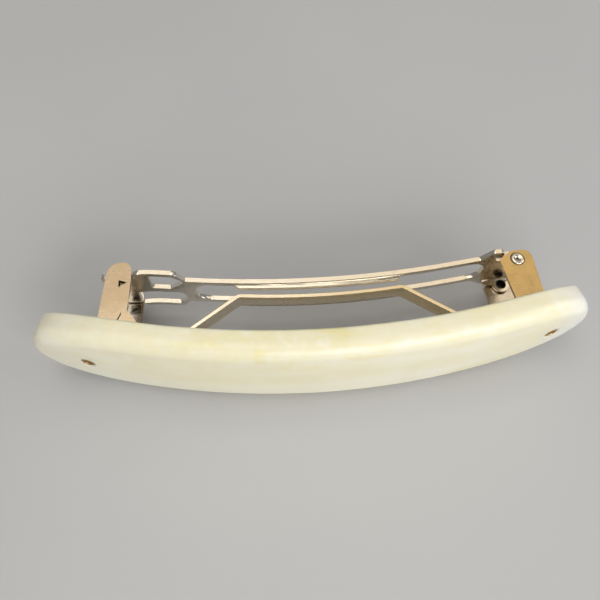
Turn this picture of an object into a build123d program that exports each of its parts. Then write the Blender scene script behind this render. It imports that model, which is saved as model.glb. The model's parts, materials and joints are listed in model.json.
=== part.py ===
from build123d import *
import os
from math import asin, degrees, tan

# Hair barrette with a French clip. Millimetres.
# +X runs along the bar towards the hinge, +Y from the decorative face to the clip, +Z up across the bar.
# It is drawn about the middle of the plate's back face, and moved at the end so that the origin
# is the bottom centre of the closed barrette's bounding box.

# ---- driving dimensions ----
BOW_RADIUS = 136.0          # bow of the plate's back face, and of the base strip on it

PLATE_LENGTH = 91.2         # chord of the back face
PLATE_SHIFT = -0.9          # middle of the plate from the middle of the clip
PLATE_WIDTH = 19.2
PLATE_SHOULDER = 31.0       # where the long edges start to turn into the rounded ends
PLATE_SHOULDER_WIDTH = 18.2
PLATE_EDGE = 4.4            # thickness at the long edges
PLATE_CROWN = 0.5           # extra thickness along the middle
END_TURN_ALONG, END_TURN_ACROSS = 0.86, 0.57  # where each end turns in, as shares of its length and width
FRONT_ROUND = 1.6
BACK_ROUND = 0.45

SHEET = 0.6                 # base sheet
SEAT_GAP = 0.02             # the strip lies on the plate, and the rivet in its holes, with this play
CLIP_HALF_LENGTH = 40.0     # an 80 mm clip
STRIP_WIDTH = 7.4
EARS_WIDTH = 10.4           # over the outer faces of a pair of ears
BEND_INSIDE = 0.4

ARM_SHEET = 0.8
ARM_WIDTH = 7.2
ARM_RADIUS = 175.0          # bow of the arm
ARM_HEIGHT = 11.67          # middle of its sheet over the plate, half way along
ARM_BOW_END = 24.0
ARM_RAIL = 0.95
FLANGE_START, FLANGE_END = -14.2, 14.4
FLANGE_OUTSIDE = 2.85       # outer face of a rail's turned flange from the middle of the arm
FLANGE_DEPTH = 0.5          # in front of the sheet
LOOP_RAIL = 0.85
LOOP_WIDTH = 11.2
NOSE_WIDTH = 8.6
SHOULDER_WIDTH = 10.7
LUG_WIDTH = 8.9             # over the outer faces of the arm's two lugs
LUG_SHEET = 0.5
TONGUE_WIDTH = 1.2
TONGUE_SHIFT = 0.05         # middle of the tongue from the middle of the arm
SLOT_START, SLOT_END = -21.2, 30.1

LUG_START, LUG_END = 31.0, 36.1
LUG_PLATE = 14.2            # middle of the sheet over the lugs

PIVOT_X, PIVOT_Y = 34.4, 12.6
PIVOT_HOLE = 1.25           # radius of the ear's hole
STUB_RADIUS = 1.2
STUB_BORE = 0.9
STUB_MOUTH = 0.55           # the stub's outer end is drawn in to this radius
OPEN_ANGLE = 90.0           # the arm swings from 0, closed, to here

DENT_DEPTH = 0.45
DENT_TOP = 12.8

SPRING_SHEET = 0.65
SPRING_WIDTH = 3.3
SPRING_TOP = 10.5           # middle of its sheet over the plate
SPRING_SAG = 0.75           # of its top, half way between the bends
SPRING_FLAT = 14.2          # half length of the top
SPRING_FOOT = 24.6          # half distance between the feet
SPRING_SHIFT = 0.6          # middle of the spring from the middle of the clip

RIVET_LEFT, RIVET_RIGHT = -37.3, 37.8
RIVET_RADIUS = 1.12
RIVET_BORE = 0.7
RIVET_HEAD_RADIUS = 1.75
RIVET_HEAD = 0.3

# ---- worked out from them ----
EAR_INSIDE = EARS_WIDTH / 2 - SHEET
STRIP_TOP = SEAT_GAP + SHEET
REACH = 60.0                # longer than anything it cuts
bow_axis = Axis((0, BOW_RADIUS, 0), (0, 0, 1))


def polygon(points, corner=0.0):
    """Flat face with one corner radius all round."""
    face = make_face(Polyline(*points, close=True))
    return fillet(face.vertices(), corner) if corner else face


def both_sides(half):
    """Points of a symmetric outline, given for +Z from low X to high X."""
    return half + [(x, -z) for x, z in reversed(half) if z > 0]


def along_y(face):
    """Solid bar whose outline is this face seen from the front."""
    return extrude(Plane.XZ * face, REACH, both=True)


def along_z(face):
    """Solid bar whose outline is this face seen from the long edge."""
    return extrude(face, REACH, both=True)


def swept_on_bow(section, half_length):
    """A section in the YZ plane carried along the bow, half_length to each side."""
    half_angle = degrees(asin(half_length / BOW_RADIUS))
    return revolve(section.rotate(bow_axis, -half_angle), bow_axis, 2 * half_angle)


def strip_section(width, low, high):
    return Plane.YZ * Pos((low + high) / 2, 0) * Rectangle(high - low, width)


def on_bow(x, height):
    """Frame at a place along the bow, its Z pointing square out of the plate's back."""
    angle = degrees(asin(x / BOW_RADIUS))
    return Pos(0, BOW_RADIUS, 0) * Rot(0, 0, angle) * Pos(0, height - BOW_RADIUS, 0) * Rot(-90, 0, 0)


# ---- plate: bowed bar with rounded ends, its end faces square to the bow ----
def plate_outline(y):
    """Outline where a fan of planes from the bow's axis cuts the plane at this Y."""
    fan = (BOW_RADIUS - y) / BOW_RADIUS
    half = BOW_RADIUS * tan(asin(PLATE_LENGTH / 2 / BOW_RADIUS)) * fan
    shoulder = BOW_RADIUS * tan(asin(PLATE_SHOULDER / BOW_RADIUS)) * fan
    wide, narrow = PLATE_WIDTH / 2, PLATE_SHOULDER_WIDTH / 2
    turn = shoulder + (half - shoulder) * END_TURN_ALONG
    long_edge = ThreePointArc((-shoulder, narrow), (0, wide), (shoulder, narrow))
    end = Spline(
        (shoulder, narrow), (turn, narrow * END_TURN_ACROSS), (half, 0), tangents=(long_edge % 1, (0, -1))
    )
    upper = Curve() + [long_edge, end, end.mirror(Plane.YZ)]
    lower = upper.mirror(Plane.XZ)
    face = make_face(upper + lower)
    return Pos(PLATE_SHIFT, y, 0) * Plane.XZ.location * face


def rim(solid, depth):
    """Long edges of the plate that lie this far in front of its back face."""
    def on_rim(edge):
        place = edge @ 0.37
        radius = (place.X**2 + (place.Y - BOW_RADIUS) ** 2) ** 0.5
        return abs(radius - BOW_RADIUS - depth) < 0.6
    return [edge for edge in solid.edges() if on_rim(edge)]


def make_plate():
    front = -(PLATE_EDGE + PLATE_CROWN)
    wide = PLATE_WIDTH / 2 + 1
    crown = ThreePointArc((-PLATE_EDGE, wide), (front, 0), (-PLATE_EDGE, -wide))
    box = Polyline((-PLATE_EDGE, wide), (0, wide), (0, -wide), (-PLATE_EDGE, -wide))
    bar = swept_on_bow(Plane.YZ * make_face(crown + box), PLATE_LENGTH / 2 + 6)
    block = loft([plate_outline(-12), plate_outline(16)], ruled=True)
    plate = (bar & block).solid()
    plate = fillet(rim(plate, 0), BACK_ROUND)
    plate = fillet(rim(plate, PLATE_EDGE), FRONT_ROUND)
    for x in (RIVET_LEFT, RIVET_RIGHT):
        plate -= on_bow(x, 0) * Cylinder(RIVET_RADIUS + SEAT_GAP, REACH)
    return plate


# ---- clip base: one stamping, strip, end tabs, catch ears and hinge ears ----
def channel():
    """Strip with both sides turned up, carried along the bow."""
    high = 19.0
    outside = Pos((SEAT_GAP + high) / 2, 0) * Rectangle(high - SEAT_GAP, EARS_WIDTH)
    inside = Pos((STRIP_TOP + high + 1) / 2, 0) * Rectangle(high + 1 - STRIP_TOP, 2 * EAR_INSIDE)
    outside = fillet(outside.vertices().group_by(Axis.X)[0], BEND_INSIDE + SHEET)
    inside = fillet(inside.vertices().group_by(Axis.X)[0], BEND_INSIDE)
    return swept_on_bow(Plane.YZ * (outside - inside), CLIP_HALF_LENGTH + 3)


def catch_ears():
    """Round-topped ears, with a low gusset beside the relief cut."""
    top = Spline(
        (-35.3, 13.6), (-35.0, 14.9), (-34.4, 15.7), (-33.2, 16.15), (-31.1, 13.5),
        tangents=((0.08, 1), (-0.05, -1))
    )
    sides = Polyline(
        (-31.1, 13.5), (-31.35, 9.0), (-31.5, 7.1), (-29.4, 4.3), (-29.4, -1), (-36.7, -1),
        (-36.1, 6.0), (-35.7, 9.9), (-35.3, 13.6)
    )
    relief = polygon([(-33.8, STRIP_TOP + 3.4), (-32.6, STRIP_TOP + 3.4), (-32.35, 6.9)])
    floor = Box(REACH, REACH, 2 * (EAR_INSIDE - BEND_INSIDE))
    return channel() & along_z(make_face(top + sides)) - (along_z(relief) - floor)


def hinge_ears():
    """Ears whose inner corner is cut away, so that the arm's shoulder swings over it."""
    side = polygon([
        (32.9, -1), (32.4, 5.2), (31.3, 12.6), (33.5, 14.2), (35.6, 14.4), (36.6, 14.0),
        (37.1, 13.0), (37.3, 6.4), (37.6, -1)
    ], 0.3)
    return channel() & along_z(side)


def dents():
    """Three-sided dents pressed in through the catch ears."""
    low, tip = DENT_TOP - 1.3, (-31.75, DENT_TOP - 0.5)
    triangle = make_face(Polyline((-33.15, DENT_TOP), (-33.15, low), tip, close=True))
    push = extrude(Pos(0, 0, EAR_INSIDE + SHEET / 2) * triangle, -(SHEET / 2 + DENT_DEPTH), taper=18)
    cut = extrude(Pos(0, 0, EARS_WIDTH / 2 + 0.01) * triangle, -(DENT_DEPTH + 0.05), taper=20)
    return Part() + [push, push.mirror(Plane.XY)], Part() + [cut, cut.mirror(Plane.XY)]


def make_clip_base():
    root = EARS_WIDTH / 2 - BEND_INSIDE - SHEET
    flat = RectangleRounded(2 * CLIP_HALF_LENGTH, STRIP_WIDTH, 2.9)
    flat += polygon(both_sides([(-37.0, 3), (-36.35, root), (-32.0, root), (-28.8, 3)]))
    flat += polygon(both_sides([(28.8, 3), (32.6, root), (37.3, root), (37.9, 3)]))
    strip = swept_on_bow(strip_section(EARS_WIDTH, SEAT_GAP, STRIP_TOP), CLIP_HALF_LENGTH + 2)
    push, cut = dents()
    base = (strip & along_y(flat)) + catch_ears() + hinge_ears() + push - cut
    base -= Pos(PIVOT_X, PIVOT_Y, 0) * Cylinder(PIVOT_HOLE, REACH)
    for x in (RIVET_LEFT, RIVET_RIGHT):
        base -= on_bow(x, 0) * Cylinder(RIVET_RADIUS + SEAT_GAP, 4)
    for side in (-1, 1):
        base += spring_claw(side)
    return base


def spring_claw(side):
    """Small upright hook on the strip that holds one foot of the spring."""
    post = Pos(0, 0, 0.9) * Box(0.6, 2.4, 1.9)
    lip = Pos(-side * 0.7, 0, 1.6) * Box(2.0, 2.4, 0.5)
    return on_bow(SPRING_SHIFT + side * (SPRING_FOOT + 2.6), STRIP_TOP - 0.1) * (post + lip)


# ---- clamp arm: one stamping, bowed, swinging about the ears' holes ----
def arm_line():
    """Middle of the arm's sheet, seen from the long edge, nose first."""
    rise = ARM_BOW_END**2 / (2 * ARM_RADIUS)
    left, right = (-ARM_BOW_END, ARM_HEIGHT + rise), (ARM_BOW_END, ARM_HEIGHT + rise)
    bow = ThreePointArc(left, (0, ARM_HEIGHT), right)
    bend = TangentArc(right, (LUG_START - 0.2, LUG_PLATE), tangent=bow % 1)
    hinge_end = Line(bend @ 1, (LUG_END + 0.3, LUG_PLATE))
    head = Spline((-37.9, 16.7), (-34.4, 14.1), (-31.0, 13.8), left, tangents=((1, -0.9), bow % 0))
    return Curve() + [head, bow, bend, hinge_end]


def arm_outline():
    """Nose, squeezable loop, long bar, shoulder and the plate over the lugs, seen from the front."""
    arm, loop, nose = ARM_WIDTH / 2, LOOP_WIDTH / 2, NOSE_WIDTH / 2
    shoulder, lug = SHOULDER_WIDTH / 2, LUG_WIDTH / 2
    face = polygon(both_sides([(-37.7, 0.6), (-35.8, 0.9), (-34.3, nose), (-29.0, nose)]), 0.5)
    face += polygon(both_sides([(-31.0, loop), (-24.0, loop), (-21.8, 2.8)]), 1.1)
    face += Pos(3.0, 0) * Rectangle(52.0, ARM_WIDTH)
    face += polygon(both_sides([(27.0, arm), (28.6, arm), (30.8, shoulder), (32.5, shoulder)]), 0.5)
    face += Pos((LUG_END + 30) / 2, 0) * Rectangle(LUG_END - 30, 2 * lug)
    return along_y(face)


def arm_slots():
    """The long slot, and the two windows on either side of the tongue."""
    high, low = TONGUE_SHIFT + TONGUE_WIDTH / 2, TONGUE_SHIFT - TONGUE_WIDTH / 2
    edge = LOOP_WIDTH / 2 - LOOP_RAIL
    slot = SlotOverall(SLOT_END - SLOT_START, ARM_WIDTH - 2 * ARM_RAIL)
    face = Pos((SLOT_START + SLOT_END) / 2, 0) * slot
    upper = [(-28.4, high), (-25.3, high), (-23.0, 2.7), (-23.0, 3.6), (-24.6, edge), (-28.4, edge)]
    lower = [(-31.2, low), (-23.5, low), (-22.9, -1.6), (-22.9, -3.0), (-24.3, -edge), (-31.2, -edge)]
    face += polygon(upper, 0.3)
    face += polygon(lower, 0.3)
    return along_y(face)


def rail_flanges():
    """Low stiffening flanges turned forward along the middle of the slot, sloping off at their ends."""
    radius = ARM_RADIUS + ARM_BOW_END**2 / (4 * ARM_RADIUS)
    front, back = radius + ARM_SHEET / 2 + FLANGE_DEPTH, radius - ARM_SHEET / 4
    ring = Pos(0, ARM_HEIGHT + radius) * (Circle(front) - Circle(back))
    ends = make_face(Polyline(
        (FLANGE_START, 13.5), (FLANGE_START, 11.9), (FLANGE_START + 1.0, 11.1), (FLANGE_START + 1.0, 10.0),
        (FLANGE_END - 0.5, 10.0), (FLANGE_END - 0.5, 11.3), (FLANGE_END, 11.8), (FLANGE_END, 13.5), close=True
    ))
    one = extrude(Pos(0, 0, FLANGE_OUTSIDE - ARM_SHEET) * (ring & ends), ARM_SHEET)
    return Part() + [one, one.mirror(Plane.XY)]


def lug_cheeks():
    """Cheeks turned down inside the ears from the plate over the pivot."""
    low, high = LUG_WIDTH / 2 - LUG_SHEET, LUG_WIDTH / 2
    side = make_face(Polyline(
        (LUG_START, LUG_PLATE), (LUG_START, 12.9), (31.7, 12.6), (35.9, 12.4), (LUG_END, 12.7),
        (LUG_END, LUG_PLATE), close=True
    )) + Pos(PIVOT_X, PIVOT_Y) * Circle(1.5)
    one = extrude(Pos(0, 0, low) * side, LUG_SHEET)
    return Part() + [one, one.mirror(Plane.XY)]


def stubs():
    """Hollow stubs drawn outwards from the cheeks, which turn in the ears' holes."""
    low, end = LUG_WIDTH / 2 - LUG_SHEET, EARS_WIDTH / 2 + 0.12
    stub = Pos(0, 0, (low + end) / 2) * Cylinder(STUB_RADIUS, end - low)
    stub = fillet(stub.edges().group_by(Axis.Z)[-1], 0.25)
    bore = Pos(0, 0, (low + end) / 2 - 0.3) * Cylinder(STUB_BORE, end - low)
    mouth = Cylinder(STUB_MOUTH, REACH)
    one, hole = Pos(PIVOT_X, PIVOT_Y, 0) * (stub - bore - mouth), Pos(PIVOT_X, PIVOT_Y, 0) * bore
    return Part() + [one, one.mirror(Plane.XY)], Part() + [hole, hole.mirror(Plane.XY)]


def bend_edges(solid, y, z):
    """The two long edges of the lug channel at this height and this far from the middle."""
    def on_bend(edge):
        place = edge.center()
        return abs(place.Y - y) < 0.02 and abs(abs(place.Z) - z) < 0.02 and edge.length > 2
    return [edge for edge in solid.edges() if on_bend(edge)]


def make_clamp_arm():
    sheet = extrude(trace(arm_line(), ARM_SHEET), 8, both=True)
    arm = (sheet & arm_outline()) - arm_slots() + rail_flanges() + lug_cheeks()
    outer = bend_edges(arm, LUG_PLATE + ARM_SHEET / 2, LUG_WIDTH / 2)
    inner = bend_edges(arm, LUG_PLATE - ARM_SHEET / 2, LUG_WIDTH / 2 - LUG_SHEET)
    arm = fillet(outer, 0.75)
    arm = fillet(inner, 0.4)
    tubes, holes = stubs()
    return arm - holes + tubes


# ---- tension spring: hollow-topped bridge between base and arm ----
def make_tension_spring():
    floor = STRIP_TOP + SPRING_SHEET / 2 + 0.03

    def on_strip(offset):
        x = SPRING_SHIFT + offset
        return (x, BOW_RADIUS - (BOW_RADIUS**2 - x**2) ** 0.5 + floor)

    left, right = (SPRING_SHIFT - SPRING_FLAT, SPRING_TOP), (SPRING_SHIFT + SPRING_FLAT, SPRING_TOP)
    line = Wire([
        Line(on_strip(-SPRING_FOOT - 1.9), on_strip(-SPRING_FOOT)).edge(),
        Line(on_strip(-SPRING_FOOT), left).edge(),
        ThreePointArc(left, (SPRING_SHIFT, SPRING_TOP - SPRING_SAG), right).edge(),
        Line(right, on_strip(SPRING_FOOT)).edge(),
        Line(on_strip(SPRING_FOOT), on_strip(SPRING_FOOT + 1.9)).edge(),
    ])
    bends = line.vertices().sort_by(Axis.X)[1:-1]
    return extrude(trace(line.fillet_2d(1.2, bends), SPRING_SHEET), SPRING_WIDTH / 2, both=True)


# ---- hollow rivets, flush in front, headed over the clip's tabs ----
def make_rivet(x):
    through = PLATE_EDGE + PLATE_CROWN - 0.04
    top = STRIP_TOP + SEAT_GAP
    shank = Pos(0, 0, (top - through) / 2) * Cylinder(RIVET_RADIUS, top + through)
    head = Pos(0, 0, top + RIVET_HEAD / 2) * Cylinder(RIVET_HEAD_RADIUS, RIVET_HEAD)
    head = fillet(head.edges().group_by(Axis.Z)[-1], 0.15)
    return on_bow(x, 0) * (shank + head - Cylinder(RIVET_BORE, REACH))


parts = {
    "plate": make_plate(),
    "clip_base": make_clip_base(),
    "clamp_arm": make_clamp_arm(),
    "tension_spring": make_tension_spring(),
    "rivet_left": make_rivet(RIVET_LEFT),
    "rivet_right": make_rivet(RIVET_RIGHT),
}

# ---- origin to the bottom centre of the closed barrette ----
box = Compound(children=[part.solid() for part in parts.values()]).bounding_box()
centre = box.center()
move = Pos(-centre.X, -centre.Y, -box.min.Z)

os.makedirs("parts", exist_ok=True)
for name, part in parts.items():
    export_step(move * part, f"parts/{name}.step")
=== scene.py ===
import json
import math

import bmesh
import bpy
from mathutils import Matrix, Vector, noise


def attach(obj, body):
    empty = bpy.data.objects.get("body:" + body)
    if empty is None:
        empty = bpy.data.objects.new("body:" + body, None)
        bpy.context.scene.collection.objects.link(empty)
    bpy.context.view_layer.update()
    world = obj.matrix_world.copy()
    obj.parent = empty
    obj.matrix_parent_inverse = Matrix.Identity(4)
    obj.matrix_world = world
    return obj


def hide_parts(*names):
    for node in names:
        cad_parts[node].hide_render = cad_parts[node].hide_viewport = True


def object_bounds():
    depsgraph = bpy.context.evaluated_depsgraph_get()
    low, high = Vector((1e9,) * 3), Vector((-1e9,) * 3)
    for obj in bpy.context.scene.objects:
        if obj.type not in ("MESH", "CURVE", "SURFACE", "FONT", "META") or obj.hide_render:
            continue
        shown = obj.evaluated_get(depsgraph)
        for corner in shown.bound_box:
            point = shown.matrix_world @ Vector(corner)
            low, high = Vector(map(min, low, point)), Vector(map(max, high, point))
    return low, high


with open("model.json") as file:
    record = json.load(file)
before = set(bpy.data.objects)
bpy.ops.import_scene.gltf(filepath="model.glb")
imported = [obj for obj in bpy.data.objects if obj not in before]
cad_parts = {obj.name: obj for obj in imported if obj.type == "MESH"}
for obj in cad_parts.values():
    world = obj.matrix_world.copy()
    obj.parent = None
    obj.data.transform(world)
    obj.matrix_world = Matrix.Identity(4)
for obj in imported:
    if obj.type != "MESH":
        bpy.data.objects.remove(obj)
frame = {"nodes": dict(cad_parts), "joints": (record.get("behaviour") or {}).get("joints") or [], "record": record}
cad_low, cad_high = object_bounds()

MM = 0.001

# The clip's own frame: its origin is the middle of the plate's back face, as in the CAD source.
HINGE = Vector(frame["joints"][0]["pos_m"])
HINGE_IN_CLIP = Vector((34.4, 12.6, 0.0)) * MM
ORIGIN = HINGE - HINGE_IN_CLIP

# ---- the plate, in millimetres ----
BOW_RADIUS = 136.0
PLATE_SHIFT = -0.9           # middle of the plate from the middle of the clip
PLATE_DEPTH = 4.9            # along the middle
PLATE_CROWN = 0.5
CROWN_REACH = 10.6           # half width at which the front has dropped by the whole crown
FRONT_ROUND = 2.3            # softer than the CAD solid's
BACK_ROUND = 0.45
SPINE_END = 41.0             # half length of the middle line that the faces' rings close in on
BACK_UNEVEN = 0.05           # how far hand polishing moves the back, the front and the long edges
FRONT_UNEVEN = 0.07
EDGE_UNEVEN = 0.10

# Half outline, laid out on the plane that touches the bow: its points, which way it runs there,
# and how far the handles of its cubics reach.
MID_HALF_WIDTH = 9.6
SHOULDER = (31.84, 9.1)
SHOULDER_SLOPE = (1.0, -0.0314)
END_TURN = (46.3, 5.2)
END_TURN_SLOPE = (0.62, -0.785)
END_REACH = 48.7
LONG_HANDLE = 10.6
SHOULDER_HANDLE = 4.0
TURN_HANDLE_BEFORE = 3.2
TURN_HANDLE_AFTER = 1.6
TIP_HANDLE = 2.2

# how finely the plate is divided
EDGE_CURVE_STEPS = 120
END_CURVE_STEPS = 90
OUTLINE_STEPS = 150
TIP_CROWDING = 0.22          # how much closer together the outline's points are towards the tip
# rings on the faces, as shares of the way to the middle line, and on the side, of its height
FACE_SHARES = (1.0, 0.86, 0.72, 0.58, 0.45, 0.33, 0.22, 0.12, 0.05, 0.0)
SIDE_SHARES = (0.25, 0.5, 0.75)
BACK_ROUND_STEPS = 5
FRONT_ROUND_STEPS = 10

# lowest and highest corners of two yellow stains on the plate's upper long edge
YELLOW_STAINS = (((-10.7, -6.0, 7.2), (-9.9, -3.4, 9.2)), ((0.9, -3.0, 9.0), (2.9, 0.5, 9.8)))

# ---- the rivets, in millimetres ----
FRONT_LENGTH = 4.86          # of the shank, from the plate's back face to its front end
RIVET_RADIUS = 1.12
RIVET_BORE = 0.7
HEAD_RADIUS = 1.75
HEAD_LOW = 0.64              # underside of the head, over the plate's back face
HEAD_HEIGHT = 0.3
HEAD_RIM = 0.13              # radius of the head's rounded rim
HEAD_ROLL_MIDDLE = 1.0       # radius of the circle that the roll into the bore turns round
LIP_SINK = 0.75              # the front lip's middle behind the shank's end, in lip radii
RIVET_STEPS = 64
CUTTER_STEPS = 48
ON_AXIS = 0.0001             # radius of a cutter's end points, which are merged into one

# ---- the rolled ends of the pivot stubs, in millimetres from the hinge ----
BOSS_CREST = 0.80            # radius of the ring's highest circle
BOSS_TOP = 5.49
BOSS_ROLL = 0.38
BOSS_BASE = 4.9
BOSS_FOOT = 1.12
DIMPLE_DEPTH = 0.26
DIMPLE_MIDDLE = 0.02         # radius at which the dimple's rings stop
ROLL_STEPS = 14
BOSS_STEPS = 72

# upper dent of the catch ears, lowest and highest corners in the clip's frame; the lower mirrors it
DENT_BOX = ((-33.3, 11.2, 4.0), (-31.6, 13.0, 5.14))

# distances under which points are the same point, in metres
SAME_POINT = 1e-6
SAME_CUTTER_POINT = 2e-7

SHARP_FROM = 38              # angle in degrees from which a CAD node's edge is rounded


def clip_place(x, y, z):
    """A point given in the clip's frame, in millimetres, as a place in the row frame."""
    return ORIGIN + Vector((x, y, z)) * MM


# ---------------------------------------------------------------- mesh helpers
def new_object(name, bm, material, smooth_angle):
    """Mesh object from a bmesh in the row frame, with smooth shading below the angle."""
    mesh = bpy.data.meshes.new(name)
    bmesh.ops.recalc_face_normals(bm, faces=bm.faces)
    bm.to_mesh(mesh)
    bm.free()
    mesh.shade_smooth()
    mesh.set_sharp_from_angle(angle=math.radians(smooth_angle))
    mesh.materials.append(material)
    obj = bpy.data.objects.new(name, mesh)
    bpy.context.scene.collection.objects.link(obj)
    return obj


def cut_away(obj, cutter):
    """Boolean difference, applied; the cutter is removed."""
    modifier = obj.modifiers.new("cut", "BOOLEAN")
    modifier.operation = "DIFFERENCE"
    modifier.solver = "EXACT"
    modifier.object = cutter
    bpy.context.view_layer.update()
    depsgraph = bpy.context.evaluated_depsgraph_get()
    cut = bpy.data.meshes.new_from_object(obj.evaluated_get(depsgraph))
    obj.modifiers.clear()
    obj.data = cut
    bpy.data.objects.remove(cutter)


def skin(bm, rings, closed):
    """Faces between neighbouring rings of points, and from the last to the first if closed."""
    followers = rings[1:] + (rings[:1] if closed else [])
    for ring, after in zip(rings, followers):
        for i in range(len(ring)):
            j = (i + 1) % len(ring)
            bm.faces.new((ring[i], ring[j], after[j], after[i]))


def lathe(profile, place, steps):
    """Closed ring turned from (radius, height) points, its axis being the place's Z."""
    bm = bmesh.new()
    rings = []
    for step in range(steps):
        angle = 2 * math.pi * step / steps
        rings.append([
            bm.verts.new(place @ Vector((r * math.cos(angle), r * math.sin(angle), h)))
            for r, h in profile
        ])
    skin(bm, rings, closed=True)
    return bm


def arc(centre, radius, start, end, steps):
    """Points of an arc in the (radius, height) plane, angles in degrees."""
    points = []
    for step in range(steps + 1):
        angle = math.radians(start + (end - start) * step / steps)
        points.append((centre[0] + radius * math.cos(angle), centre[1] + radius * math.sin(angle)))
    return points


# ---------------------------------------------------------------- materials
class Graph:
    """Small helper for building a material's node tree, on the object's own coordinates."""

    OCCLUSION_SAMPLES = 6

    def __init__(self, name):
        self.material = bpy.data.materials.new(name)
        self.material.use_nodes = True
        self.tree = self.material.node_tree
        self.shader = self.tree.nodes["Principled BSDF"]
        coordinates = self.tree.nodes.new("ShaderNodeTexCoord")
        self.place = coordinates.outputs["Object"]

    def link(self, source, target):
        self.tree.links.new(source, target)

    def set(self, **values):
        """Constants on the shader's own sockets, spaces in their names given as underscores."""
        for key, value in values.items():
            self.shader.inputs[key.replace("_", " ")].default_value = value

    def stretched(self, scale, shift=(0, 0, 0)):
        node = self.tree.nodes.new("ShaderNodeMapping")
        node.inputs["Scale"].default_value = scale
        node.inputs["Location"].default_value = shift
        self.link(self.place, node.inputs["Vector"])
        return node.outputs["Vector"]

    def noise(self, scale, detail=3.0, roughness=0.5, at=None, distortion=0.0):
        node = self.tree.nodes.new("ShaderNodeTexNoise")
        node.inputs["Scale"].default_value = scale
        node.inputs["Detail"].default_value = detail
        node.inputs["Roughness"].default_value = roughness
        node.inputs["Distortion"].default_value = distortion
        self.link(at or self.place, node.inputs["Vector"])
        return node.outputs["Fac"]

    def cells(self, scale):
        """Distance to the nearest of many scattered points."""
        node = self.tree.nodes.new("ShaderNodeTexVoronoi")
        node.inputs["Scale"].default_value = scale
        self.link(self.place, node.inputs["Vector"])
        return node.outputs["Distance"]

    def range(self, value, low, high, to_low=0.0, to_high=1.0):
        """Smooth step from to_low at low to to_high at high."""
        node = self.tree.nodes.new("ShaderNodeMapRange")
        node.interpolation_type = "SMOOTHSTEP"
        node.inputs["From Min"].default_value = low
        node.inputs["From Max"].default_value = high
        node.inputs["To Min"].default_value = to_low
        node.inputs["To Max"].default_value = to_high
        self.link(value, node.inputs["Value"])
        return node.outputs["Result"]

    def math(self, operation, a, b=None):
        node = self.tree.nodes.new("ShaderNodeMath")
        node.operation = operation
        for socket, value in zip(node.inputs, (a, b)):
            if isinstance(value, (int, float)):
                socket.default_value = value
            elif value is not None:
                self.link(value, socket)
        return node.outputs["Value"]

    def axis(self, name):
        node = self.tree.nodes.new("ShaderNodeSeparateXYZ")
        self.link(self.place, node.inputs["Vector"])
        return node.outputs[name]

    def mix(self, factor, a, b):
        """Colour a where the factor is 0, and b where it is 1."""
        node = self.tree.nodes.new("ShaderNodeMix")
        node.data_type = "RGBA"
        factor_socket, a_socket, b_socket = (node.inputs[i] for i in (0, 6, 7))
        self.link(factor, factor_socket)
        for socket, value in ((a_socket, a), (b_socket, b)):
            if isinstance(value, tuple):
                socket.default_value = (*value, 1.0)
            else:
                self.link(value, socket)
        return node.outputs[2]

    def occlusion(self, distance):
        """Near 1 in the open, less in corners and bores."""
        node = self.tree.nodes.new("ShaderNodeAmbientOcclusion")
        node.samples = self.OCCLUSION_SAMPLES
        node.inputs["Distance"].default_value = distance
        return node.outputs["AO"]

    def inside(self, low, high, soft):
        """1 inside a box in the row frame, falling to 0 over soft outside it."""
        result = None
        for name, a, b in zip("XYZ", low, high):
            value = self.axis(name)
            rise = self.range(value, a - soft, a)
            fall = self.range(value, b + soft, b)
            both = self.math("MULTIPLY", rise, fall)
            result = both if result is None else self.math("MULTIPLY", result, both)
        return result

    def bump(self, height, distance, strength, after=None):
        """Normal for a height pattern, on top of an earlier bump's normal."""
        node = self.tree.nodes.new("ShaderNodeBump")
        node.inputs["Strength"].default_value = strength
        node.inputs["Distance"].default_value = distance
        self.link(height, node.inputs["Height"])
        if after is not None:
            self.link(after, node.inputs["Normal"])
        return node.outputs["Normal"]

    def finish(self, colour, roughness, normal=None):
        for value, name in ((colour, "Base Color"), (roughness, "Roughness"), (normal, "Normal")):
            if value is not None:
                self.link(value, self.shader.inputs[name])
        return self.material


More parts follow.
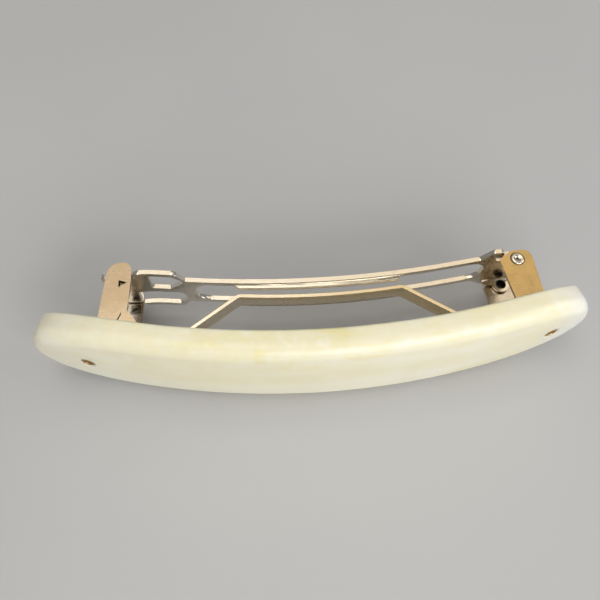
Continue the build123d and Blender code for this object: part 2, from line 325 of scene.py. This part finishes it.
def ivory_resin():
    """Polished, slightly translucent cream resin, clouded and stained yellow, with a painted bluish-white
    highlight at the right tip and a greyer left tip.
    """
    deep_cream, light_cream = (0.88, 0.82, 0.58), (0.93, 0.89, 0.70)
    cloud_white, fleck_white = (0.95, 0.93, 0.80), (0.97, 0.96, 0.86)
    patch_yellow, stain_yellow = (0.86, 0.78, 0.38), (0.84, 0.76, 0.36)
    vein_brown = (0.80, 0.72, 0.50)
    right_tip_painted_highlight, left_tip_grey = (0.83, 0.85, 0.88), (0.84, 0.82, 0.74)
    stain_soft = 0.0008

    g = Graph("ivory_resin")
    # long streaks and soft clouds of the cream itself
    streak = g.noise(1.0, 2.0, 0.5, g.stretched((22, 120, 120), (3.1, 0, 0)), 0.3)
    cloud = g.noise(70, 3.0, 0.5)
    cream = g.mix(g.range(streak, 0.36, 0.66), deep_cream, light_cream)
    cream = g.mix(g.range(cloud, 0.45, 0.75, 0, 0.6), cream, cloud_white)
    # yellow patches and white flecks on the upper half, the patches only near the middle
    patch = g.noise(1.0, 3.0, 0.55, g.stretched((130, 300, 300), (0.7, 1.3, 0)), 0.6)
    upper = g.range(g.axis("Z"), 0.010, 0.0175)
    middle = g.range(g.math("ABSOLUTE", g.axis("X")), 0.036, 0.012)
    patches = g.range(patch, 0.47, 0.66, 0, 0.50)
    yellow = g.math("MULTIPLY", patches, g.math("MULTIPLY", upper, middle))
    cream = g.mix(yellow, cream, patch_yellow)
    mottle = g.math("MULTIPLY", g.range(g.noise(420, 2.0, 0.5), 0.48, 0.72, 0, 0.32), upper)
    cream = g.mix(mottle, cream, fleck_white)
    for low, high in YELLOW_STAINS:
        stain = g.inside(clip_place(*low), clip_place(*high), stain_soft)
        stain = g.math("MULTIPLY", stain, g.range(cloud, 0.3, 0.6, 0.25, 0.6))
        cream = g.mix(stain, cream, stain_yellow)
    vein = g.noise(1.0, 3.0, 0.5, g.stretched((45, 520, 520)), 0.5)
    cream = g.mix(g.range(vein, 0.45, 0.8, 0, 0.14), cream, vein_brown)
    # painted highlight: the right tip turns a cool bluish white; the left tip is greyed
    cream = g.mix(g.range(g.axis("X"), 0.036, 0.0475, 0, 0.7), cream, right_tip_painted_highlight)
    cream = g.mix(g.range(g.axis("X"), -0.036, -0.047, 0, 0.35), cream, left_tip_grey)
    # smeared polish, fine scratches along the plate and a slow waviness
    smear = g.noise(120, 4.0, 0.6)
    scratch = g.noise(1.0, 2.0, 0.6, g.stretched((120, 2400, 1800)))
    polish = g.range(smear, 0.3, 0.75, 0.28, 0.40)
    rough = g.math("ADD", polish, g.range(scratch, 0.6, 0.75, 0, 0.04))
    hollow = g.bump(g.noise(1.0, 1.0, 0.4, g.stretched((50, 110, 110))), 0.00010, 0.30)
    normal = g.bump(scratch, 0.000001, 0.15, hollow)
    g.set(
        Subsurface_Weight=0.32, Subsurface_Radius=(1.0, 0.72, 0.42), Subsurface_Scale=0.0022,
        IOR=1.5, Coat_Weight=0.16, Coat_Roughness=0.24
    )
    return g.finish(cream, rough, normal)


def plated_metal(name, bright, warm, dull, warm_span, rough_span, shade=None, reflection_tinted=None):
    """Bright nickel plate: patchy tint, drawn scratches along the part, pits, painted shade in corners.

    warm_span is where along X the warm tint starts and is full, and rough_span the least and most roughness. shade
    and the last argument are functions of the graph: shade gives where shade is painted dark, and the last
    argument how much of the warm tint shows, a painted reflection.
    """
    silver, pit_brown, shade_black = (0.78, 0.72, 0.63), (0.20, 0.16, 0.12), (0.055, 0.05, 0.045)
    corner_painted_shade, corner_reach = (0.16, 0.12, 0.075), 0.0011

    g = Graph(name)
    # tint, from bright to warm along the clip, with dull stains
    patch = g.noise(110, 3.0, 0.5, None, 0.3)
    along = g.range(g.axis("X"), *warm_span)
    warmth = g.math("MULTIPLY", g.range(patch, 0.25, 0.7, 0.75, 1.0), along)
    colour = g.mix(warmth, bright, warm)
    # painted reflection: where the function gives less than 1 the tint turns silver, as on the ears' inner faces
    if reflection_tinted is not None:
        colour = g.mix(reflection_tinted(g), silver, colour)
    stain = g.noise(1.0, 4.0, 0.55, g.stretched((140, 260, 200), (1.7, 0, 0.4)), 0.5)
    colour = g.mix(g.range(stain, 0.56, 0.80, 0, 0.30), colour, dull)
    # pits, painted shade in shaded places and painted shade in corners
    speck = g.cells(2600)
    spots = g.math("MULTIPLY", g.range(speck, 0.22, 0.12), g.range(g.noise(700), 0.52, 0.62))
    colour = g.mix(g.math("MULTIPLY", spots, 0.6), colour, pit_brown)
    # painted shade where the shade function gives it, such as the catch ears' dents and the stubs' bores
    if shade is not None:
        colour = g.mix(shade(g), colour, shade_black)
    # painted shade: corners and bores that the occlusion finds are darkened
    corner = g.occlusion(corner_reach)
    colour = g.mix(g.range(corner, 0.75, 0.30, 0, 0.55), colour, corner_painted_shade)
    # scratches along and across the part, haze, and a slow waviness of the sheet
    drawn = g.noise(1.0, 3.0, 0.6, g.stretched((500, 12000, 12000)))
    crossed = g.noise(1.0, 2.0, 0.5, g.stretched((6500, 700, 6500), (0, 2.2, 0)))
    haze = g.range(g.noise(420, 3.0, 0.6), 0.35, 0.72, *rough_span)
    rough = g.math("ADD", haze, g.range(drawn, 0.5, 0.75, 0, 0.08))
    rough = g.math("ADD", rough, g.math("MULTIPLY", spots, 0.3))
    wave = g.bump(g.noise(170, 1.0, 0.5), 0.00006, 0.15)
    normal = g.bump(drawn, 0.000006, 0.7, wave)
    normal = g.bump(crossed, 0.000004, 0.5, normal)
    normal = g.bump(g.math("SUBTRACT", 1.0, spots), 0.00001, 0.8, normal)
    g.set(Metallic=1.0, IOR=2.0)
    return g.finish(colour, rough, normal)


def aged_brass():
    """Brown-gold rivet metal, with painted shade in the bore and darker small blotches."""
    brown_brass, gold_brass = (0.40, 0.24, 0.09), (0.66, 0.47, 0.22)
    blotch_brown, bore_painted_shade, bore_reach = (0.12, 0.07, 0.03), (0.07, 0.045, 0.02), 0.0008

    g = Graph("aged_brass")
    patch = g.noise(900, 4.0, 0.6, None, 0.5)
    colour = g.mix(g.range(patch, 0.3, 0.7), brown_brass, gold_brass)
    grime = g.noise(1500, 5.0, 0.65, None, 0.4)
    colour = g.mix(g.range(grime, 0.5, 0.75, 0, 0.8), colour, blotch_brown)
    # painted shade in the bore, where the occlusion finds it
    colour = g.mix(g.range(g.occlusion(bore_reach), 0.75, 0.30, 0, 0.85), colour, bore_painted_shade)
    rough = g.range(grime, 0.3, 0.75, 0.24, 0.6)
    grain = g.noise(1.0, 2.0, 0.5, g.stretched((5000, 5000, 5000)))
    g.set(Metallic=1.0)
    return g.finish(colour, rough, g.bump(grain, 0.00001, 0.6))


def dent_shade(g):
    """Painted shade in the pressed dents of the catch ears."""
    soft, darkness = 0.00004, 0.72
    (x_low, y_low, z_low), (x_high, y_high, z_high) = DENT_BOX
    upper = g.inside(clip_place(x_low, y_low, z_low), clip_place(x_high, y_high, z_high), soft)
    lower = g.inside(clip_place(x_low, y_low, -z_high), clip_place(x_high, y_high, -z_low), soft)
    return g.math("MULTIPLY", g.math("ADD", upper, lower), darkness)


def from_mid_plane(g):
    """Distance from the plane half way between the two ears of a pair."""
    return g.math("ABSOLUTE", g.math("SUBTRACT", g.axis("Z"), HINGE.z))


def painted_reflection_on_ears(g):
    """1 on the ears' outer faces, less inside the channel: a painted reflection, warm tint on the outer faces and
    silver inside.
    """
    ear_inside, ear_outside, tint_inside = 0.0046, 0.0050, 0.2
    return g.range(from_mid_plane(g), ear_inside, ear_outside, tint_inside, 1.0)


def stub_shade(g):
    """Painted shade inside the hollow pivot stubs."""
    bore_edge, bore_inside, darkness = 0.00096, 0.00090, 0.95
    mouth_edge, mouth_inside = 0.00535, 0.00525
    offset = []
    for name, middle in (("X", HINGE.x), ("Y", HINGE.y)):
        offset.append(g.math("POWER", g.math("SUBTRACT", g.axis(name), middle), 2.0))
    distance = g.math("SQRT", g.math("ADD", *offset))
    within = g.range(distance, bore_edge, bore_inside)
    behind_mouth = g.range(from_mid_plane(g), mouth_edge, mouth_inside, 0, darkness)
    return g.math("MULTIPLY", within, behind_mouth)


# ---------------------------------------------------------------- the plate
def bezier(a, a_out, b_in, b, steps):
    """Points of one cubic, without its last one."""
    points = []
    for step in range(steps):
        t = step / steps
        weights = ((1 - t) ** 3, 3 * t * (1 - t) ** 2, 3 * t * t * (1 - t), t**3)
        parts = (Vector(p) * w for p, w in zip((a, a_out, b_in, b), weights))
        points.append(sum(parts, Vector((0, 0))))
    return points


def quarter_outline():
    """Quarter of the outline on the tangent plane, from the middle of the top edge to the tip."""
    slope = Vector(SHOULDER_SLOPE).normalized()
    turn = Vector(END_TURN_SLOPE).normalized()
    middle, tip = Vector((0.0, MID_HALF_WIDTH)), Vector((END_REACH, 0.0))
    shoulder, corner = Vector(SHOULDER), Vector(END_TURN)
    points = bezier(
        middle, (LONG_HANDLE, MID_HALF_WIDTH), shoulder - slope * LONG_HANDLE, shoulder,
        EDGE_CURVE_STEPS
    )
    points += bezier(
        shoulder, shoulder + slope * SHOULDER_HANDLE, corner - turn * TURN_HANDLE_BEFORE, corner,
        END_CURVE_STEPS
    )
    points += bezier(
        corner, corner + turn * TURN_HANDLE_AFTER, (END_REACH, TIP_HANDLE), tip, END_CURVE_STEPS
    )
    return points + [tip]


def plate_outline():
    """Whole outline on the tangent plane, round from the right tip, a little closer at the tips."""
    quarter = quarter_outline()
    lengths = [0.0]
    for a, b in zip(quarter, quarter[1:]):
        lengths.append(lengths[-1] + (b - a).length)
    even = []
    index = 0
    for step in range(OUTLINE_STEPS + 1):
        share = step / OUTLINE_STEPS
        want = lengths[-1] * (share + TIP_CROWDING * share * (1 - share))
        while index < len(lengths) - 2 and lengths[index + 1] < want:
            index += 1
        span = lengths[index + 1] - lengths[index]
        even.append(quarter[index].lerp(quarter[index + 1], (want - lengths[index]) / span))
    upper = list(reversed(even)) + [Vector((-p.x, p.y)) for p in even[1:]]
    return upper + [Vector((p.x, -p.y)) for p in reversed(upper[1:-1])]


def plate_rings():
    """(inset from the outline, share of the way to the middle line, side, drop) for each ring.

    The drop is how far the ring lies inside the face, or for a side ring its share of the height.
    """
    rings = [(BACK_ROUND, share, "back", 0.0) for share in FACE_SHARES]
    for step in range(1, BACK_ROUND_STEPS + 1):
        angle = math.radians(90 * step / BACK_ROUND_STEPS)
        inset, drop = BACK_ROUND * (1 - math.sin(angle)), BACK_ROUND * (1 - math.cos(angle))
        rings.append((inset, 0.0, "back", drop))
    for share in SIDE_SHARES:
        rings.append((0.0, 0.0, "side", share))
    for step in range(FRONT_ROUND_STEPS + 1):
        angle = math.radians(90 * step / FRONT_ROUND_STEPS)
        inset, drop = FRONT_ROUND * (1 - math.cos(angle)), FRONT_ROUND * (1 - math.sin(angle))
        rings.append((inset, 0.0, "front", drop))
    for share in reversed(FACE_SHARES[:-1]):
        rings.append((FRONT_ROUND, share, "front", 0.0))
    return rings


def front_depth(across):
    return PLATE_DEPTH - PLATE_CROWN * (across / CROWN_REACH) ** 2


def hand_finish(x, y, z):
    """Low unevenness of a hand-polished surface, from about -1 to 1."""
    slow = noise.noise(Vector((x * 0.09, y * 0.16, z * 0.16)) + Vector((7.3, 1.1, 4.2)))
    fast = noise.noise(Vector((x * 0.45, y * 0.5, z * 0.5)) + Vector((2.9, 8.4, 0.6)))
    return slow + 0.3 * fast


def on_bow(along, depth):
    """Place of an outline point, laid out at along, this far in front of the bowed back face."""
    reach = BOW_RADIUS + depth
    y = 0.0
    for _ in range(6):       # settles within a few rounds
        x = along * (BOW_RADIUS - y) / BOW_RADIUS + PLATE_SHIFT
        y = BOW_RADIUS - math.sqrt(reach**2 - x**2)
    return x, y


def plate_mesh():
    """The bar as rings of points, from the middle line of its back to that of its front."""
    outline = plate_outline()
    bm = bmesh.new()
    rings = []
    for inset, share, side, drop in plate_rings():
        ring = []
        for i, point in enumerate(outline):
            tangent = (outline[(i + 1) % len(outline)] - outline[i - 1]).normalized()
            inward = Vector((-tangent.y, tangent.x))
            if inward.dot(point) > 0:
                inward = -inward
            flat = point + inward * inset
            spine = Vector((max(-SPINE_END, min(SPINE_END, flat.x)), 0.0))
            flat = flat.lerp(spine, share)
            layer = 0.0 if side == "back" else 4.0       # the back's unevenness is its own
            uneven = hand_finish(flat.x, layer, flat.y)
            if side == "back":
                depth = drop + BACK_UNEVEN * max(0.0, uneven)
            elif side == "front":
                depth = front_depth(flat.y) - drop - FRONT_UNEVEN * max(0.0, uneven)
            else:
                low, high = BACK_ROUND, front_depth(point.y) - FRONT_ROUND
                depth = low + (high - low) * drop
            if share == 0.0:
                flat = flat + inward * (EDGE_UNEVEN * abs(uneven))
            x, y = on_bow(flat.x, depth)
            ring.append(bm.verts.new(clip_place(x, y, flat.y)))
        rings.append(ring)
    skin(bm, rings, closed=False)
    bmesh.ops.remove_doubles(bm, verts=bm.verts, dist=SAME_POINT)
    return bm


# ---------------------------------------------------------------- the rivets and pivot ends
def rivet_place(mount):
    """Frame of a rivet: its origin on the plate's back face, +Z out of the back."""
    axis = -Vector(mount["axis"]).normalized()
    middle = Vector(mount["pos_m"])
    front_to_middle = mount["dims"]["length_mm"] / 2
    back_face = middle - axis * (front_to_middle - FRONT_LENGTH) * MM
    turn = axis.to_track_quat("Z", "Y").to_matrix().to_4x4()
    return Matrix.Translation(back_face) @ turn @ Matrix.Scale(MM, 4)


def rivet_profile():
    """Hollow shank with a rolled front lip and a domed, rolled head."""
    lip_radius = (RIVET_RADIUS - RIVET_BORE) / 2
    lip_middle = (RIVET_RADIUS + RIVET_BORE) / 2
    lip = arc((lip_middle, -FRONT_LENGTH + lip_radius * LIP_SINK), lip_radius, 180, 360, 10)
    shank = [(RIVET_RADIUS, -3.0), (RIVET_RADIUS, -0.5), (RIVET_RADIUS, HEAD_LOW)]
    underside = [(1.4, HEAD_LOW), (HEAD_RADIUS - 0.12, HEAD_LOW)]
    rim = arc((HEAD_RADIUS - HEAD_RIM, HEAD_LOW + HEAD_RIM), HEAD_RIM, -90, 75, 7)
    dome = [(1.45, HEAD_LOW + 0.285), (1.2, HEAD_LOW + HEAD_HEIGHT)]
    roll = arc((HEAD_ROLL_MIDDLE, HEAD_LOW), HEAD_HEIGHT, 90, 180, 7)
    bore = [(RIVET_BORE, 0.2), (RIVET_BORE, -2.0), (RIVET_BORE, -3.6)]
    return lip + shank + underside + rim + dome + roll + bore


def boss_profile():
    """Rolled-over end of a pivot stub: a domed ring with a shallow dimple in its middle."""
    outer = arc((BOSS_CREST, BOSS_TOP - BOSS_ROLL), BOSS_ROLL, -8, 90, ROLL_STEPS)
    dimple = []
    for step in range(1, ROLL_STEPS + 1):
        radius = BOSS_CREST * (1 - step / ROLL_STEPS)
        depth = DIMPLE_DEPTH * (0.5 + 0.5 * math.cos(math.pi * radius / BOSS_CREST))
        dimple.append((max(radius, DIMPLE_MIDDLE), BOSS_TOP - depth))
    base = [(DIMPLE_MIDDLE, BOSS_BASE), (0.6, BOSS_BASE), (BOSS_FOOT, BOSS_BASE)]
    return outer + dimple + base


def hole_cutter(name, place):
    """Cutter for a rivet's hole, slightly countersunk at the front."""
    countersink = [(1.5, -9.0), (1.28, -FRONT_LENGTH - 0.02), (1.16, -FRONT_LENGTH + 0.14)]
    shank = [(1.14, -4.0), (1.14, 3.0)]
    profile = [(ON_AXIS, -9.0)] + countersink + shank + [(ON_AXIS, 3.0)]
    bm = lathe(profile, place, CUTTER_STEPS)
    bmesh.ops.remove_doubles(bm, verts=bm.verts, dist=SAME_CUTTER_POINT)
    bmesh.ops.recalc_face_normals(bm, faces=bm.faces)
    mesh = bpy.data.meshes.new(name)
    bm.to_mesh(mesh)
    bm.free()
    cutter = bpy.data.objects.new(name, mesh)
    bpy.context.scene.collection.objects.link(cutter)
    return cutter


def round_edges(obj, width):
    """A CAD node's edges rounded by this many millimetres, on its welded mesh."""
    weld = obj.modifiers.new("weld", "WELD")
    weld.merge_threshold = SAME_POINT
    bevel = obj.modifiers.new("rounded_edges", "BEVEL")
    bevel.width = width * MM
    bevel.segments = 2
    bevel.limit_method = "ANGLE"
    bevel.angle_limit = math.radians(SHARP_FROM)
    bevel.use_clamp_overlap = True
    bevel.harden_normals = True


# ---------------------------------------------------------------- build
resin = ivory_resin()
brass = aged_brass()
base_nickel = plated_metal(
    "base_nickel", bright=(0.57, 0.46, 0.32), warm=(0.64, 0.445, 0.185), dull=(0.44, 0.35, 0.24),
    warm_span=(-0.030, 0.030), rough_span=(0.16, 0.28), shade=dent_shade, reflection_tinted=painted_reflection_on_ears
)
arm_nickel = plated_metal(
    "arm_nickel", bright=(0.89, 0.84, 0.74), warm=(0.87, 0.76, 0.58), dull=(0.62, 0.54, 0.42),
    warm_span=(-0.020, 0.060), rough_span=(0.13, 0.25), shade=stub_shade
)
spring_nickel = plated_metal(
    "spring_nickel", bright=(0.85, 0.77, 0.62), warm=(0.82, 0.66, 0.40), dull=(0.52, 0.44, 0.32),
    warm_span=(-0.030, 0.030), rough_span=(0.15, 0.28)
)

plate = new_object("plate_bar", plate_mesh(), resin, 40.0)
mounts = {mount["name"]: mount for mount in frame["record"]["mounts"]}
for side in ("left", "right"):
    place = rivet_place(mounts[f"rivet_bore_{side}"])
    cut_away(plate, hole_cutter(f"cutter_{side}", place))
    turned = lathe(rivet_profile(), place, RIVET_STEPS)
    rivet = new_object(f"hollow_rivet_{side}", turned, brass, 50.0)
    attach(rivet, "base")
    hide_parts(f"rivet_{side}")
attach(plate, "base")
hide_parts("plate")

for name, flip in (("upper", 0.0), ("lower", math.pi)):
    place = Matrix.Translation(HINGE) @ Matrix.Rotation(flip, 4, "X") @ Matrix.Scale(MM, 4)
    turned = lathe(boss_profile(), place, BOSS_STEPS)
    boss = new_object(f"pivot_boss_{name}", turned, arm_nickel, 60.0)
    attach(boss, "arm")

for node, material, edge in (
    ("clip_base", base_nickel, 0.07), ("clamp_arm", arm_nickel, 0.09),
    ("tension_spring", spring_nickel, 0.08)
):
    obj = frame["nodes"][node]
    obj.data.materials.clear()
    obj.data.materials.append(material)
    round_edges(obj, edge)

# ---------------------------------------------------------------- floor, light, camera
FLOOR_SIZE = 4.0
bpy.ops.mesh.primitive_plane_add(size=FLOOR_SIZE, location=(0, 0, cad_low.z))
floor = bpy.context.object
floor.name = "floor"
floor_grey, floor_pale_grey = (0.50, 0.50, 0.505), (0.53, 0.53, 0.53)
g = Graph("pale_floor")
tone = g.mix(g.range(g.noise(9, 3.0), 0.3, 0.7), floor_grey, floor_pale_grey)
floor.data.materials.append(g.finish(tone, g.range(g.noise(900, 2.0), 0.3, 0.7, 0.5, 0.62)))

# softboxes, all turned to the origin: name, place and size in metres, power in watts, colour
SOFTBOXES = (
    ("key", (-0.15, -0.02, 0.78), (0.7, 0.5), 1.9, (1.0, 0.98, 0.94)),
    ("front", (0.29, -0.66, 0.40), (0.8, 0.4), 4.6, (1.0, 0.98, 0.95)),
    ("back", (0.05, 0.42, 0.75), (0.9, 0.45), 1.0, (1.0, 0.86, 0.66)),
    ("side", (0.60, -0.05, 0.35), (0.4, 0.3), 0.9, (0.94, 0.97, 1.0)),
)
for name, place, size, power, colour in SOFTBOXES:
    light = bpy.data.lights.new(name, "AREA")
    light.shape = "RECTANGLE"
    light.size, light.size_y = size
    light.energy = power
    light.color = colour
    softbox = bpy.data.objects.new(name, light)
    bpy.context.scene.collection.objects.link(softbox)
    softbox.location = place
    softbox.rotation_mode = "QUATERNION"
    softbox.rotation_quaternion = (-Vector(place)).to_track_quat("-Z", "Y")

world = bpy.data.worlds.new("studio")
world.use_nodes = True
background = world.node_tree.nodes["Background"]
background.inputs["Color"].default_value = (0.80, 0.82, 0.85, 1.0)
background.inputs["Strength"].default_value = 0.26
bpy.context.scene.world = world

# the camera's place from the hinge, in millimetres, and the way it looks and stands up
CAMERA_FROM_HINGE = Vector((-42.31, -50.07, 92.90))
FORWARD = Vector((0.04637, 0.45285, -0.89038)).normalized()
UP = Vector((0.05837, 0.88859, 0.45498))
camera_data = bpy.data.cameras.new("camera")
camera_data.sensor_width = 36.0
camera_data.lens = 36.0
camera_data.clip_start = 0.005
camera = bpy.data.objects.new("camera", camera_data)
bpy.context.scene.collection.objects.link(camera)
right = FORWARD.cross(UP).normalized()
above = right.cross(FORWARD)
turn = Matrix((right, above, -FORWARD)).transposed().to_4x4()
camera.matrix_world = Matrix.Translation(HINGE + CAMERA_FROM_HINGE * MM) @ turn
bpy.context.scene.camera = camera
bpy.context.scene.view_settings.view_transform = "Standard"

bpy.context.view_layer.update()
